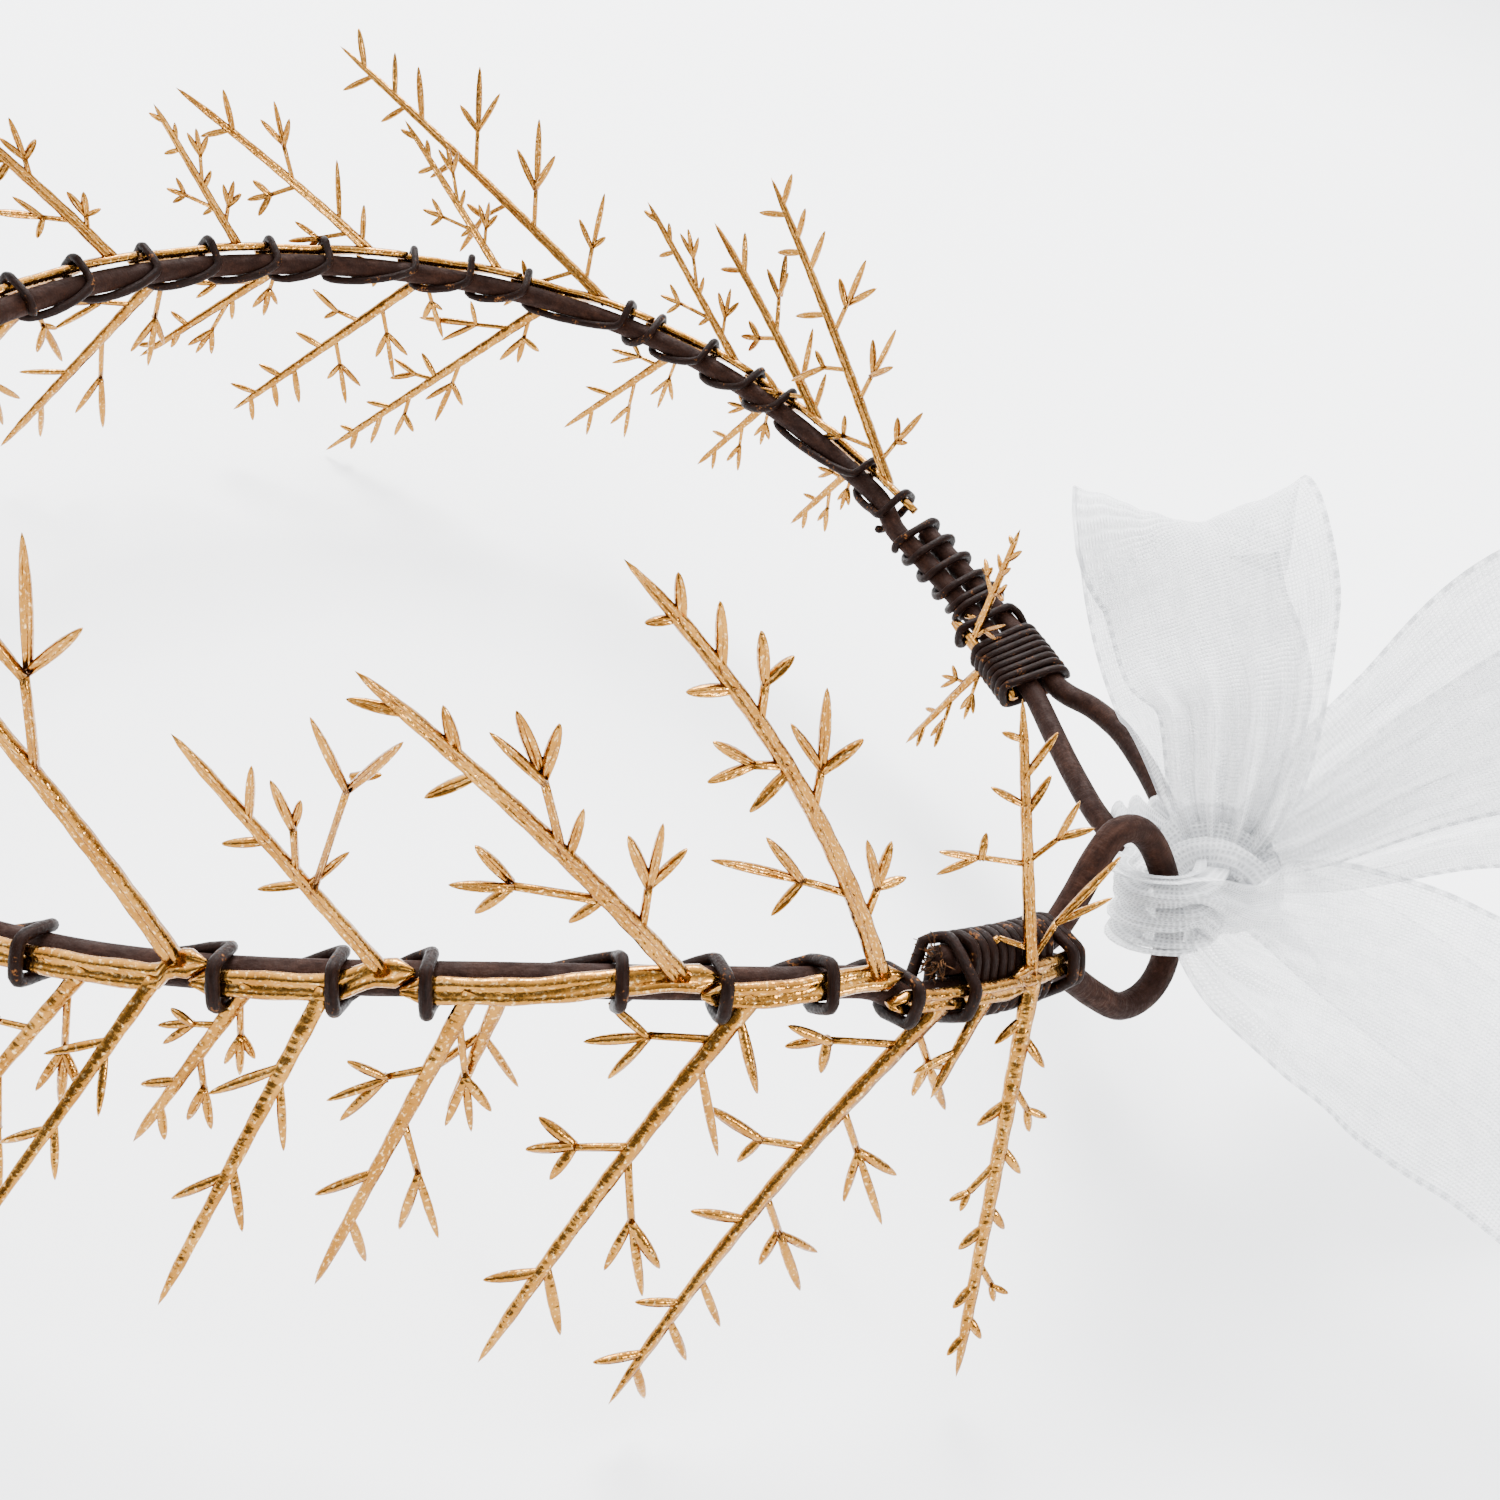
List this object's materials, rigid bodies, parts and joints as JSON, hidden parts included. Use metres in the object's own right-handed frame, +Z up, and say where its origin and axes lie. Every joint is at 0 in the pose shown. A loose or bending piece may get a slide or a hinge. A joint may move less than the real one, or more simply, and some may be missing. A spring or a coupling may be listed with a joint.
{
  "type": "hair wreath",
  "caption": "Open ring of dark covered wire dressed with gold fern sprigs, bound with thin wire, with a sheer white ribbon tied in a bow through an eyelet at each end.",
  "frame": {"origin": "middle of the base of the whole object's box, on the table it stands on", "axes": "+Z up; +Y from the front of the ring to its gap, where the ribbon is tied; +X to the right-hand half"},
  "size_m": [0.193, 0.3656, 0.1004],
  "materials": {
    "covered_wire": "matt dark brown paper cover, slightly rough",
    "binding_wire": "near-black brown cover with a slight shine",
    "gold": "satin gold, grooved, a little worn at the tips",
    "organza": "sheer white weave with a fine bound edge"
  },
  "bodies": {
    "wreath": {"base_wire": "covered_wire", "end_coil_right": "binding_wire", "end_coil_left": "binding_wire", "band_wrap_right": "binding_wire", "band_wrap_left": "binding_wire", "knot_sprig_right": "gold", "knot_sprig_left": "gold", "sprig_right_01": "gold", "sprig_right_02": "gold", "sprig_right_03": "gold", "sprig_right_04": "gold", "sprig_right_05": "gold", "sprig_right_06": "gold", "sprig_right_07": "gold", "sprig_right_08": "gold", "sprig_right_09": "gold", "sprig_right_10": "gold", "sprig_left_01": "gold", "sprig_left_02": "gold", "sprig_left_03": "gold", "sprig_left_04": "gold", "sprig_left_05": "gold", "sprig_left_06": "gold", "sprig_left_07": "gold", "sprig_left_08": "gold"},
    "ribbon": {"ribbon": "organza"}
  },
  "joints": [
    {"name": "ribbon_swing", "type": "hinge", "parent": "wreath", "child": "ribbon", "pos_m": [-0.0077, 0.0247, 0.0412], "axis": [0.9311, 0.0294, 0.3637], "range_deg": [0, 30]}
  ]
}
